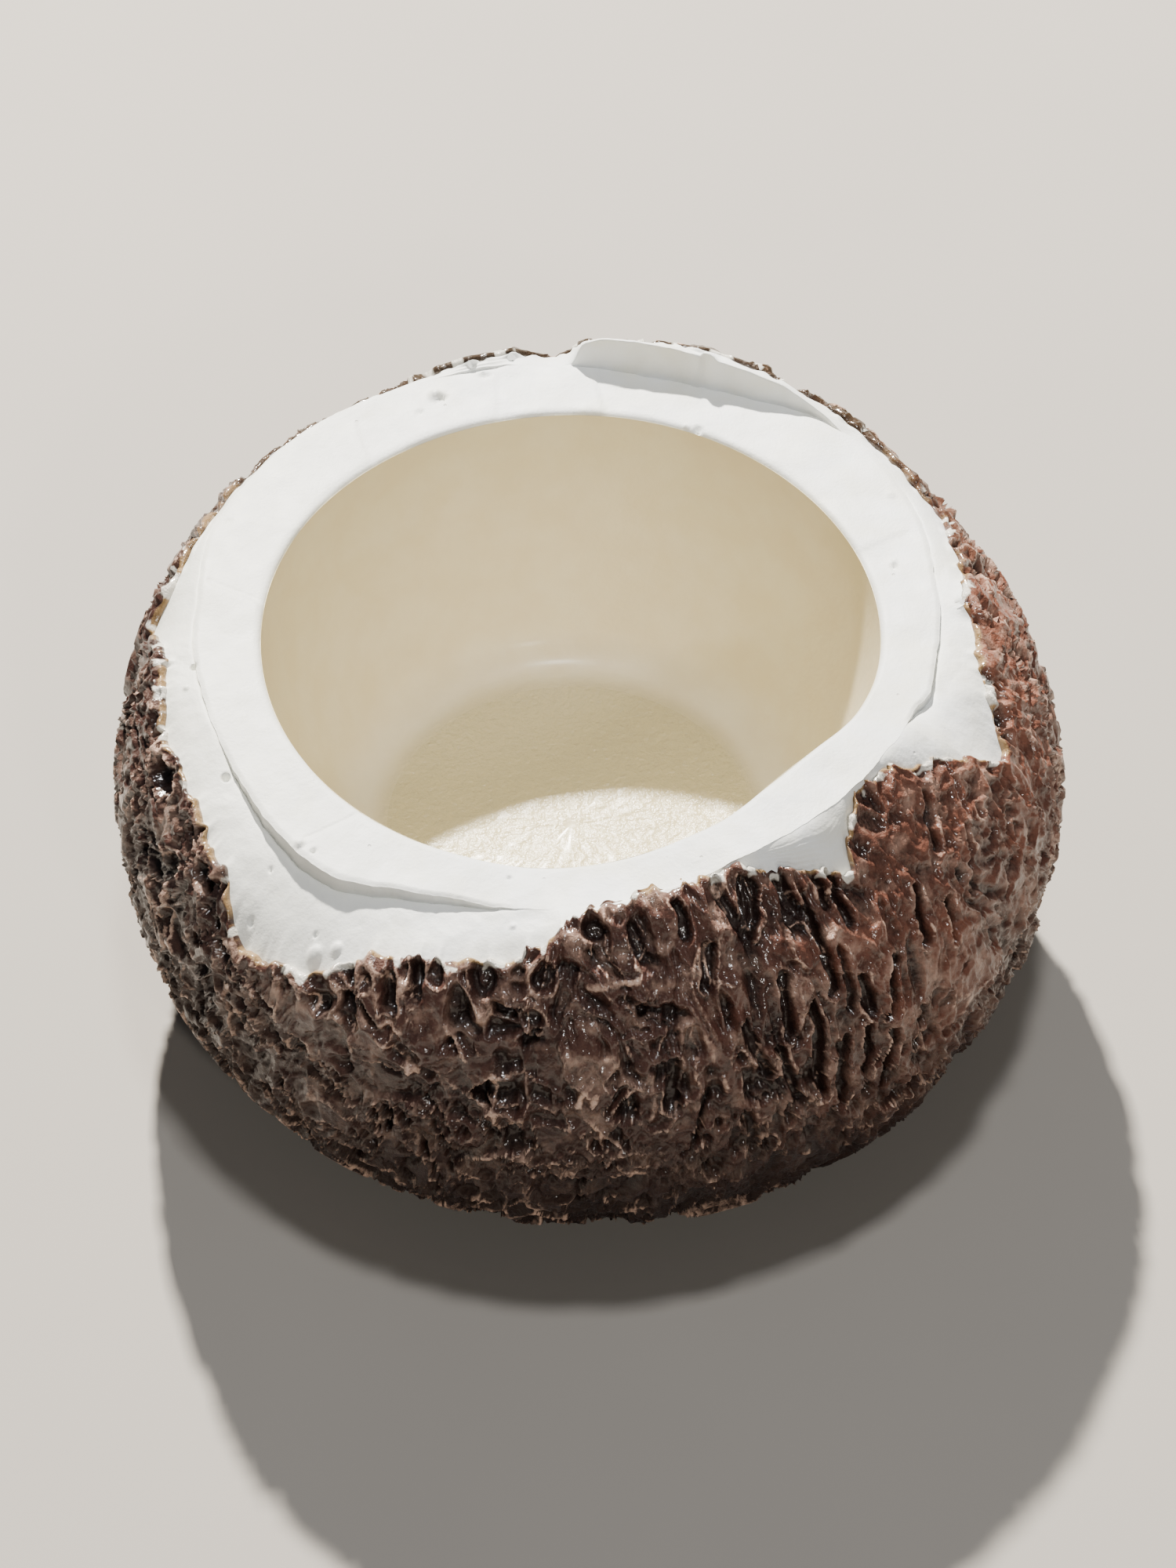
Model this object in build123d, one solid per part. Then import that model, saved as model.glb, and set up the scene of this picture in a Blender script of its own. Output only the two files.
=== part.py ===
"""Open coconut-shell vessel: a squat cast bowl with a broken rim, in millimetres, +Z up.

The origin is on the axis of the belly, at the level of the surface that the vessel stands on.
Azimuths are in degrees round +Z, 0 along +X and 90 along +Y, where the rim is highest.
"""
from build123d import *
from math import cos, radians, sin
import os

# Outside of the husk: round at the belly, with a shoulder that leans to the back left.
BELLY_RADIUS = 59.0
BELLY_HEIGHT = 35.0
SHOULDER_RISE = 44.0
UNDER_DROP = 42.5
UNDER_POWER = 2.4
CROWN_HEIGHT = 67.5
RING_STEPS = 6
RING_POINTS = 24

# Fuller places of the shoulder, behind the rim's raised piece and below its deepest break:
# (azimuth, half width, depth, height of the middle, half height).
BULGE_TOP = 62.0
BULGES = [(65.0, 50.0, 3.0, BULGE_TOP, 18.0), (228.0, 42.0, 2.2, 51.0, 14.0)]

# Layers under the husk's surface.
HUSK_THICKNESS = 1.6
FOOT_CLEARANCE = 0.6
PAD_RADIUS = 33.0
PAD_THICKNESS = FOOT_CLEARANCE + HUSK_THICKNESS

# Inner cup and its well, round the leaning centre that the shoulder has at the lip.
CUP_CENTRE = (-2.4, 2.3)
CUP_RIM_RADIUS = 45.5
CUP_RIM_DEPTH = 8.0
CUP_FOOT_RADIUS = 30.0
CUP_FOOT_HEIGHT = 14.0
CUP_COVER = 2.8
LIP_HEIGHT = 59.0
MOUTH_RADIUS = 38.3
WELL_FLOOR_HEIGHT = 22.0
WELL_FLOOR_RADIUS = 25.0
WELL_CORNER_RADIUS = 7.0
WELL_CORNER_TURN = 65.0
WELL_WALL_BOW = 1.6
COATING_THICKNESS = 0.5
COATING_BELOW_LIP = 0.5

# The mouth is slightly flattened towards this azimuth, where the lip also stands higher.
FLAT_AZIMUTH = 315.0
FLAT_DISTANCE = 37.2

# Reach of the cutting tools.
FAR = 200.0
CUTTER_TOP = 80.0
CUTTER_OUTER_RADIUS = 64.0
CUTTER_INNER_RADIUS = 20.0
LEDGE_INNER_RADIUS = 42.0

# Upper edge of the husk: (azimuth, height).
HUSK_EDGE = [
    (1, 58.6), (6, 59.4), (17, 58.0), (27, 56.5), (38, 57.5), (48, 59.5), (60, 62.0), (75, 63.2),
    (85, 62.0), (90, 59.0), (93, 57.0), (97, 59.8), (106, 60.4), (116, 58.0), (128, 57.0),
    (140, 57.5), (152, 58.2), (163, 58.4), (169, 57.0), (173, 52.5), (177, 55.5), (182, 57.8),
    (189, 57.6), (197, 56.2), (204, 57.0), (210, 56.6), (215, 55.6), (220, 54.6), (222, 52.5),
    (225, 49.5), (229, 50.0), (236, 51.5), (240, 54.0), (245, 55.6), (252, 56.6), (262, 57.4),
    (268, 59.4), (271, 60.8), (277, 61.8), (286, 62.4), (295, 62.4), (301, 61.2), (306, 59.6),
    (311, 57.8), (314, 60.6), (319, 62.4), (326, 61.8), (334, 59.8), (339, 56.0), (344, 53.0),
    (348, 55.0), (354, 57.8),
]

# Broken top of the white body: (azimuth, height beside the cup, height at the outside).
LEDGE = [
    (0, 58.2, 59.0), (15, 58.2, 58.6), (28, 58.2, 57.2), (40, 58.6, 58.8), (50, 59.4, 60.6),
    (56, 61.4, 61.8), (66, 63.2, 63.4), (78, 63.9, 64.0), (86, 63.5, 63.2), (90, 62.2, 61.4),
    (92.5, 59.0, 57.2), (95, 59.4, 60.6), (107, 59.6, 61.0), (120, 59.5, 60.0), (140, 59.2, 59.6),
    (155, 58.6, 59.2), (166, 58.2, 58.8), (173, 58.0, 53.0), (179, 58.0, 57.8), (190, 57.8, 58.2),
    (200, 57.4, 57.2), (208, 57.0, 57.0), (216, 56.4, 56.0), (222, 56.0, 53.0), (226, 55.8, 50.1),
    (232, 55.8, 51.2), (238, 55.8, 53.4), (245, 56.2, 56.0), (253, 57.0, 57.0), (262, 58.4, 58.0),
    (270, 59.4, 60.8), (280, 60.8, 62.4), (292, 62.4, 62.8), (302, 63.2, 61.8), (310, 63.4, 58.4),
    (314, 63.6, 61.4), (322, 63.4, 62.6), (332, 62.0, 60.8), (338, 59.5, 57.2), (344, 57.6, 53.6),
    (350, 57.6, 56.6),
]

# Top of the cup's lip: (azimuth, height at the mouth, height at the rim).
LIP = [
    (0, 59.0, 59.0), (45, 59.0, 59.0), (90, 59.0, 59.2), (135, 59.0, 59.0), (180, 59.0, 58.8),
    (240, 59.0, 58.6), (262, 59.0, 59.0), (272, 59.6, 59.6), (282, 60.8, 60.8), (295, 62.6, 62.8),
    (311, 63.8, 63.8), (326, 63.4, 63.4), (336, 62.0, 61.6), (345, 60.4, 59.6), (354, 59.2, 59.0),
]


def smooth_step(share):
    share = min(max(share, 0.0), 1.0)
    return share * share * (3 - 2 * share)


def body_radius(azimuth, height, inset=0.0):
    """Radius of the husk's outside, or of a skin that lies inset below it."""
    if height < BELLY_HEIGHT:
        share = (BELLY_HEIGHT - height) / (UNDER_DROP - inset)
        return (BELLY_RADIUS - inset) * (1 - share ** UNDER_POWER) ** (1 / UNDER_POWER)
    share = (height - BELLY_HEIGHT) / (SHOULDER_RISE - inset)
    bulge = 0.0
    for middle, half_width, depth, level, half_height in BULGES:
        away = abs((azimuth - middle + 180) % 360 - 180)
        swell = depth * smooth_step(1 - away / half_width)
        bulge += swell * smooth_step(1 - abs(min(height, BULGE_TOP) - level) / half_height)
    return (BELLY_RADIUS - inset) * (1 - share ** 2) ** 0.5 + bulge


def lean_centre(height):
    """Centre of the body at a height: over the origin up to the belly, then drifting."""
    share = max(height - BELLY_HEIGHT, 0.0) / (LIP_HEIGHT - BELLY_HEIGHT)
    return (CUP_CENTRE[0] * share ** 2, CUP_CENTRE[1] * share ** 2)


def around(centre, radius, azimuth, height):
    angle = radians(azimuth)
    return (centre[0] + radius * cos(angle), centre[1] + radius * sin(angle), height)


def body_point(azimuth, height, inset=0.0):
    return around(lean_centre(height), body_radius(azimuth, height, inset), azimuth, height)


def body_solid(foot, inset=0.0):
    """Body from its flat foot to the crown, lofted through level rings."""
    lower = [foot + (BELLY_HEIGHT - foot) * (step / RING_STEPS) ** 1.5 for step in range(RING_STEPS)]
    upper = [BELLY_HEIGHT + (CROWN_HEIGHT - BELLY_HEIGHT) * step / RING_STEPS for step in range(RING_STEPS + 1)]
    rings = []
    for height in lower + upper:
        turns = [360 * index / RING_POINTS for index in range(RING_POINTS)]
        points = [body_point(azimuth, height, inset) for azimuth in turns]
        rings.append(Wire(Spline(*points, periodic=True)))
    return Solid.make_loft(rings)


def broken_top(stations, inner_radius):
    """Tool that cuts away all above a broken surface that joins the stations round the rim.

    A station's first height holds up to the inner radius and its second from the outside on.
    """
    rows = []
    for azimuth, inner_height, outer_height in stations:
        rows.append((
            around(CUP_CENTRE, CUTTER_INNER_RADIUS, azimuth, inner_height),
            around(CUP_CENTRE, inner_radius, azimuth, inner_height),
            body_point(azimuth, outer_height),
            around((0, 0), CUTTER_OUTER_RADIUS, azimuth, outer_height),
            around((0, 0), CUTTER_OUTER_RADIUS, azimuth, CUTTER_TOP),
            around(CUP_CENTRE, CUTTER_INNER_RADIUS, azimuth, CUTTER_TOP),
        ))
    faces = []
    for here, row in enumerate(rows):
        after = rows[(here + 1) % len(rows)]
        for corner in range(len(row)):
            along = (corner + 1) % len(row)
            faces.append(Face(Wire.make_polygon([row[corner], row[along], after[along]], close=True)))
            faces.append(Face(Wire.make_polygon([row[corner], after[along], after[corner]], close=True)))
    return Solid(Shell(faces))


def well_tool(spread=0.0):
    """Space inside the cup: a round floor, a soft corner, a bowed wall and a flat on one side."""
    floor = WELL_FLOOR_HEIGHT - spread
    edge = WELL_FLOOR_RADIUS + spread
    turn = radians(WELL_CORNER_TURN)
    bend = (edge + WELL_CORNER_RADIUS * sin(turn), floor + WELL_CORNER_RADIUS * (1 - cos(turn)))
    mouth = (MOUTH_RADIUS + spread, LIP_HEIGHT)
    middle = ((bend[0] + mouth[0]) / 2 + WELL_WALL_BOW, (bend[1] + mouth[1]) / 2)
    outline = Line((0, floor), (edge, floor))
    outline += TangentArc((edge, floor), bend, tangent=(1, 0))
    outline += ThreePointArc(bend, middle, mouth)
    outline += Polyline(mouth, (mouth[0], CUTTER_TOP), (0, CUTTER_TOP), (0, floor))
    round_space = revolve(Plane.XZ * make_face(outline), Axis.Z)
    beyond = Pos(FLAT_DISTANCE + spread + FAR / 2, 0, 0) * Box(FAR, FAR, FAR)
    return Pos(*CUP_CENTRE, 0) * (round_space - Rot(0, 0, FLAT_AZIMUTH) * beyond)


def cup_block():
    """Cup without its well: a cone frustum under a short cylinder, kept under the outer layers."""
    outline = Polyline(
        (0, CUP_FOOT_HEIGHT), (CUP_FOOT_RADIUS, CUP_FOOT_HEIGHT),
        (CUP_RIM_RADIUS, LIP_HEIGHT - CUP_RIM_DEPTH), (CUP_RIM_RADIUS, CROWN_HEIGHT),
        (0, CROWN_HEIGHT), (0, CUP_FOOT_HEIGHT),
    )
    block = Pos(*CUP_CENTRE, 0) * revolve(Plane.XZ * make_face(outline), Axis.Z)
    return block & body_solid(FOOT_CLEARANCE, CUP_COVER)


def lip_tool(drop=0.0):
    """Tool for the top of the lip, or for an edge that lies a drop below it."""
    stations = [(azimuth, inner - drop, outer - drop) for azimuth, inner, outer in LIP]
    return broken_top(stations, MOUTH_RADIUS - 2.0)


def make_base_pad():
    """Felt disc under the foot, flush with the inside of the husk's open underside."""
    return Pos(0, 0, PAD_THICKNESS / 2) * Cylinder(PAD_RADIUS, PAD_THICKNESS)


def make_husk_shell():
    """Rough brown outer layer, open over the rim and round the pad."""
    shell = body_solid(FOOT_CLEARANCE) - body_solid(PAD_THICKNESS, HUSK_THICKNESS)
    shell -= Cylinder(PAD_RADIUS, 4 * PAD_THICKNESS)
    edge = [(azimuth, height, height) for azimuth, height in HUSK_EDGE]
    return shell - broken_top(edge, LEDGE_INNER_RADIUS)


def make_flesh_body(husk, cup):
    """White body between the husk and the cup, with its broken ledge and the raised back piece."""
    above_pad = Pos(0, 0, PAD_THICKNESS + FAR / 2) * Box(FAR, FAR, FAR)
    body = (body_solid(FOOT_CLEARANCE) & above_pad) - husk - cup
    return body - broken_top(LEDGE, LEDGE_INNER_RADIUS)


def make_inner_cup(cup):
    """White cup whose flat lip forms the mouth."""
    return cup - well_tool(COATING_THICKNESS) - lip_tool()


def make_well_coating():
    """Thin cream sealing coat over the floor and wall of the well."""
    return well_tool(COATING_THICKNESS) - well_tool() - lip_tool(COATING_BELOW_LIP)


solid_cup = cup_block()
husk_shell = make_husk_shell()
PARTS = {
    "husk_shell": husk_shell,
    "flesh_body": make_flesh_body(husk_shell, solid_cup),
    "inner_cup": make_inner_cup(solid_cup),
    "well_coating": make_well_coating(),
    "base_pad": make_base_pad(),
}

os.makedirs("parts", exist_ok=True)
for name, shape in PARTS.items():
    shape.label = name
    export_step(shape, f"parts/{name}.step")
    size = shape.bounding_box().size
    print(f"{name}: {len(shape.solids())} solids, {shape.volume:.0f} mm3, {size.X:.1f} x {size.Y:.1f} x {size.Z:.1f}")
    for solid in shape.solids():
        box = solid.bounding_box()
        print(f"  solid {solid.volume:.2f} mm3, z {box.min.Z:.2f} to {box.max.Z:.2f}")
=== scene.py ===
"""Looks of the open coconut-shell vessel: husk, broken white rim, cup, well and pad.

Shapes are worked out in millimetres round +Z, with azimuths in degrees from +X, and turned into
metres when a mesh is made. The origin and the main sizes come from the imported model.
"""
from math import cos, pi, radians, sin

import bpy
import numpy as np
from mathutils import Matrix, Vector


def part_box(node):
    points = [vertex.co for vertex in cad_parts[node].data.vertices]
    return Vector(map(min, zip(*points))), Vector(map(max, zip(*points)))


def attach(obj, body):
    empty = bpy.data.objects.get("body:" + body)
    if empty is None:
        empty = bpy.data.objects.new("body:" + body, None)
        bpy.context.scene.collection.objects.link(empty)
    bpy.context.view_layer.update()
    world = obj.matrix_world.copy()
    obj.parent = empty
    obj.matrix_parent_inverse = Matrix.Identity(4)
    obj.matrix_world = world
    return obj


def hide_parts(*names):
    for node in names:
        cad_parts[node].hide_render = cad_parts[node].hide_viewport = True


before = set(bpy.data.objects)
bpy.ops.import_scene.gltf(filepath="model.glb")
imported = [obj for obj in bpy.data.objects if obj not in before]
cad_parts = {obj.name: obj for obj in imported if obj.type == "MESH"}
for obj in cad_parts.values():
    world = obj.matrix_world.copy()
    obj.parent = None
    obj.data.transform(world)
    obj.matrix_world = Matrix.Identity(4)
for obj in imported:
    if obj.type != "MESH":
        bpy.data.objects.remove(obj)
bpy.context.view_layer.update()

MM = 0.001


def side(node, axis, end):
    """A coordinate of a CAD node's box in millimetres: end 0 is the lowest, 1 the highest."""
    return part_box(node)[end][axis] / MM


# Main sizes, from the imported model.
BELLY_RADIUS = (side("husk_shell", 0, 1) - side("husk_shell", 0, 0)) / 2
FOOT_HEIGHT = side("husk_shell", 2, 0)
PAD_RADIUS = (side("base_pad", 0, 1) - side("base_pad", 0, 0)) / 2
PAD_TOP = side("base_pad", 2, 1)
RIM_RADIUS = (side("inner_cup", 0, 1) - side("inner_cup", 0, 0)) / 2
CUP_CENTRE = np.array([
    (side("inner_cup", 0, 1) + side("inner_cup", 0, 0)) / 2,
    (side("inner_cup", 1, 1) + side("inner_cup", 1, 0)) / 2,
])
CUP_FOOT_HEIGHT = side("inner_cup", 2, 0)

# Outside of the body, as in the CAD model.
BELLY_HEIGHT = 35.0
SHOULDER_RISE = 44.0
UNDER_DROP = 42.5
UNDER_POWER = 2.4
LIP_HEIGHT = 59.0

# Inside of the well.
MOUTH_RADIUS = 38.3
COATING_THICKNESS = 0.5
COATING_DEPTH = 0.4
FLOOR_HEIGHT = side("well_coating", 2, 0) + COATING_THICKNESS
FLOOR_RADIUS = 25.0
CORNER_RADIUS = 7.0
CORNER_TURN = 65.0
WALL_BOW = 1.6
FLAT_AZIMUTH = 315.0
FLAT_DISTANCE = 37.2
MOUTH_ROUNDING = 0.9

# Fuller places of the shoulder: (azimuth, half width, depth, height of the middle, half height).
# Above BULGE_TOP a bulge keeps the depth it has there.
BULGE_TOP = 62.0
BULGES = [
    (65.0, 50.0, 3.0, BULGE_TOP, 18.0),
    (228.0, 42.0, 2.2, 51.0, 14.0),
]

# Upper edge of the husk: (azimuth, height).
HUSK_EDGE = [
    (1, 58.6), (6, 59.4), (17, 58.0), (27, 56.5), (38, 57.5), (48, 59.5), (60, 62.0), (75, 63.2),
    (85, 62.2), (88, 60.8), (90, 58.2), (93, 55.8), (96, 57.6), (99, 59.9), (106, 60.7), (116, 57.4),
    (128, 56.1), (140, 56.5), (152, 57.2), (163, 57.9), (169, 57.0), (173, 52.5), (177, 55.5),
    (182, 57.8), (189, 57.6), (197, 56.2), (204, 57.0), (210, 56.6), (215, 55.6), (220, 54.6),
    (222, 52.5), (225, 49.5), (229, 50.0), (236, 51.5), (240, 54.0), (245, 55.6), (252, 56.6),
    (262, 57.4), (268, 59.4), (271, 60.8), (277, 61.8), (286, 62.4), (295, 62.4), (301, 61.2),
    (306, 59.6), (311, 57.8), (313.5, 60.6), (319, 62.4), (326, 61.8), (334, 59.8), (339, 56.0),
    (344, 53.0), (348, 55.0), (354, 57.8),
]

# Outer edge of the cup's lip, where the fine crease runs: (azimuth, radius beyond the mean).
CREASE = [
    (5, 0.4), (15, 1.4), (28, 3.2), (40, 4.2), (51, 3.6), (60, 1.4), (68, 0.8), (81, 0.8), (88, 1.2),
    (95, 2.0), (130, 3.0), (160, 3.0), (173, 1.2), (186, 0.8), (205, 0.4), (217, 1.2), (227, 2.4),
    (234, 2.7), (243, 0.6), (252, -0.6), (261, -0.5), (300, -0.6), (335, -1.0), (341, -1.4),
    (345, -0.2), (353, -0.3),
]

# Top of the lip: (azimuth, height at the mouth, height at the crease).
LIP = [
    (0, 59.0, 59.0), (45, 59.0, 59.0), (90, 59.0, 59.2), (135, 59.0, 59.3), (180, 59.0, 58.9),
    (240, 59.0, 58.8), (262, 59.0, 59.0), (272, 59.6, 59.6), (282, 60.8, 60.8), (295, 62.6, 62.8),
    (311, 63.8, 63.8), (326, 63.4, 63.2), (336, 62.0, 61.6), (345, 60.4, 59.8), (354, 59.2, 59.2),
]

# How far the white ledge lies below the lip at the crease: (azimuth, step). Negative is above.
STEP = [
    (5, 0.7), (25, 0.6), (38, 0.45), (44, 0.1), (49, -0.9), (54, -2.4), (60, -3.7), (68, -4.4),
    (78, -4.7), (85, -4.2), (88.4, -3.2), (89.9, 0.2), (93.5, 0.9), (97, 0.1), (104, -0.4), (112, 0.0),
    (140, 0.1), (153, 0.35), (165, 0.55), (185, 0.5), (195, 0.4), (199, 0.15), (204, 0.3), (208, 1.0),
    (217, 1.8), (228, 2.6), (236, 2.1), (245, 1.7), (254, 1.1), (260, 0.25), (264, 0.0), (336, 0.0),
    (340, 0.9), (344, 1.4), (350, 0.9),
]

# How far the raised piece's face leans out, for each millimetre that it rises.
RAISED_LEAN = 0.22


def smooth_step(share):
    """Soft ramp from 0 to 1."""
    share = np.clip(share, 0.0, 1.0)
    return share * share * (3 - 2 * share)


def follow(stations, azimuth, soften=0.0, column=1):
    """Value at each azimuth of a list of stations round the rim, with its corners softened."""
    turns = np.array([station[0] for station in stations], float)
    values = np.array([station[column] for station in stations], float)
    shifts = np.linspace(-soften, soften, 7)
    return sum(np.interp(azimuth + shift, turns, values, period=360.0) for shift in shifts) / len(shifts)


def arc_away(azimuth, centre):
    """Degrees between two azimuths, the short way round."""
    return np.abs((azimuth - centre + 180.0) % 360.0 - 180.0)


def near(azimuth, centre, spread):
    """1 around an azimuth, fading to 0 between 0.4 and 1.4 spreads away from it."""
    return smooth_step(1.4 - arc_away(azimuth, centre) / spread)


# ---------------------------------------------------------------- noise

def cell_value(cells, seed):
    """Repeatable random number from 0 to 1 for each whole-number cell."""
    x, y, z = (cells[..., axis].astype(np.int64) for axis in range(3))
    mixed = (x * 73856093) ^ (y * 19349663) ^ (z * 83492791) ^ (seed * 668265263)
    mixed = (mixed ^ (mixed >> 13)) * 1274126177
    mixed ^= mixed >> 16
    return (mixed & 0xFFFFFF) / 0xFFFFFF


def soft_noise(points, size, seed):
    """Smooth noise from -1 to 1 with features of about the given size."""
    scaled = points / size
    base = np.floor(scaled)
    share = scaled - base
    share = share * share * (3 - 2 * share)
    total = np.zeros(points.shape[:-1])
    for corner in np.ndindex(2, 2, 2):
        offset = np.array(corner)
        weight = np.prod(np.where(offset, share, 1 - share), axis=-1)
        total += weight * cell_value(base + offset, seed)
    return total * 2 - 1


def rough_noise(points, size, seed, octaves=3):
    """Sum of ever finer smooth noise, from about -1 to 1."""
    total = 0.0
    for octave in range(octaves):
        total = total + soft_noise(points, size / 2 ** octave, seed + octave) / 2 ** octave
    return total / 1.6


def cells(points, size, seed):
    """Distances to the nearest and second nearest seeds of a cell pattern, and the nearest's number."""
    scaled = points / size
    base = np.floor(scaled)
    nearest = np.full(points.shape[:-1], 9.0)
    second = nearest.copy()
    number = np.zeros(points.shape[:-1])
    for corner in np.ndindex(3, 3, 3):
        cell = base + np.array(corner) - 1
        spot = cell + np.stack([cell_value(cell, seed + axis) for axis in range(3)], -1)
        distance = np.linalg.norm(spot - scaled, axis=-1)
        closer = distance < nearest
        second = np.where(closer, nearest, np.minimum(second, distance))
        number = np.where(closer, cell_value(cell, seed + 7), number)
        nearest = np.where(closer, distance, nearest)
    return nearest, second, number


def stir(points, size, depth, seed):
    """Points pushed about by smooth noise, which bends any pattern read at them."""
    push = [soft_noise(points, size, seed + 11 * axis) for axis in range(3)]
    return points + depth * np.stack(push, -1)


# ---------------------------------------------------------------- body surface

def body_radius(azimuth, height, inset=0.0):
    """Radius of the husk's mean surface, or of a skin that lies inset below it."""
    low = np.clip((BELLY_HEIGHT - height) / (UNDER_DROP - inset), 0.0, 0.999)
    high = np.clip((height - BELLY_HEIGHT) / (SHOULDER_RISE - inset), 0.0, 0.999)
    under = (1 - low ** UNDER_POWER) ** (1 / UNDER_POWER)
    over = np.sqrt(1 - high ** 2)
    bulge = 0.0
    for middle, half_width, depth, level, half_height in BULGES:
        around = smooth_step(1 - arc_away(azimuth, middle) / half_width)
        upward = smooth_step(1 - np.abs(np.minimum(height, BULGE_TOP) - level) / half_height)
        bulge = bulge + depth * around * upward
    return (BELLY_RADIUS - inset) * np.where(height < BELLY_HEIGHT, under, over) + bulge


def place(centre, radius, azimuth, height):
    """Points at a radius and azimuth about a centre line, at a height."""
    turn = np.radians(azimuth)
    x = centre[0] + radius * np.cos(turn)
    y = centre[1] + radius * np.sin(turn)
    return np.stack(np.broadcast_arrays(x, y, height), -1)


def body_point(azimuth, height, inset=0.0):
    share = np.maximum(height - BELLY_HEIGHT, 0.0) / (LIP_HEIGHT - BELLY_HEIGHT)
    centre = (CUP_CENTRE[0] * share ** 2, CUP_CENTRE[1] * share ** 2)
    return place(centre, body_radius(azimuth, height, inset), azimuth, height)


def grid_normals(points):
    """Outward normals of a grid whose rows climb and whose columns go round anticlockwise."""
    round_about = np.roll(points, -1, axis=1) - np.roll(points, 1, axis=1)
    upward = np.gradient(points, axis=0)
    normals = np.cross(round_about, upward)
    return normals / np.maximum(np.linalg.norm(normals, axis=-1, keepdims=True), 1e-9)


# ---------------------------------------------------------------- meshes

def ring_faces(count, width, closed, capped):
    """Faces of a grid of rows that each go once round. Cap centres follow the grid's points."""
    here = np.arange(count * width).reshape(count, width)
    after = np.roll(here, -1, axis=1)
    last = count if closed else count - 1
    corners = [here, after, np.roll(after, -1, axis=0), np.roll(here, -1, axis=0)]
    faces = np.stack(corners, -1)[:last].reshape(-1, 4).tolist()
    centre = count * width
    for cap, row in zip(capped, (0, count - 1)):
        if cap:
            around = [here[row], after[row]] if row else [after[row], here[row]]
            faces += [[int(first), int(second), centre] for first, second in zip(*around)]
            centre += 1
    return faces


def ring_mesh(name, rows, closed=False, capped=(False, False), values=None):
    """Object from rows of points that each go once round, joined to the next row.

    closed joins the last row to the first; capped fills the first and last rows with a fan.
    values holds a number for each point under an attribute's name, for the materials.
    """
    count, width = rows.shape[:2]
    centres = [rows[row].mean(0) for cap, row in zip(capped, (0, count - 1)) if cap]
    points = np.vstack([rows.reshape(-1, 3)] + centres) * MM
    mesh = bpy.data.meshes.new(name)
    mesh.from_pydata(points.tolist(), [], ring_faces(count, width, closed, capped))
    for label, numbers in (values or {}).items():
        attribute = mesh.attributes.new(label, "FLOAT", "POINT")
        padded = np.zeros(len(points))
        padded[:count * width] = numbers.reshape(-1)
        attribute.data.foreach_set("value", padded.astype(np.float32))
    mesh.shade_smooth()
    mesh.validate()
    piece = bpy.data.objects.new(name, mesh)
    bpy.context.scene.collection.objects.link(piece)
    return piece


def finish_piece(piece, node, material, sharp_angle=None):
    """Gives a piece its material, hangs it under the root body and hides the CAD node that it replaces."""
    piece.data.materials.append(material)
    if sharp_angle is not None:
        piece.data.set_sharp_from_angle(angle=radians(sharp_angle))
    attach(piece, "root")
    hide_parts(node)


# Azimuths of a grid's columns, closer together round the front half.
BACK_COLUMNS = 320
FRONT_COLUMNS = 720
AZIMUTH = np.concatenate([
    np.linspace(0.0, 180.0, BACK_COLUMNS, endpoint=False),
    np.linspace(180.0, 360.0, FRONT_COLUMNS, endpoint=False),
])


# ---------------------------------------------------------------- husk

HUSK_ROWS = 230
HUSK_INNER_ROWS = 16

# The relief stays this far above the floor, and between these depths from the mean surface.
FOOT_CLEARANCE = 0.25
RELIEF_RANGE = (-2.6, 1.4)

# Degrees over which the corners of the husk's upper edge are softened.
EDGE_SOFTENING = 0.7

# How the husk's broken edge turns in over the white: (rise above the last row, turn from 0 to 1).
# At a full turn it lies EDGE_TUCK below the mean surface.
EDGE_WRAPS = [(0.12, 0.3), (0.1, 0.55), (-0.05, 0.8), (-0.6, 1.0)]
EDGE_TUCK = 0.8

# An azimuth where the body has no bulge.
PLAIN_AZIMUTH = 150.0

# Radius at which a degree of azimuth is measured along the husk.
FLAT_RADIUS = 53.0

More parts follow.
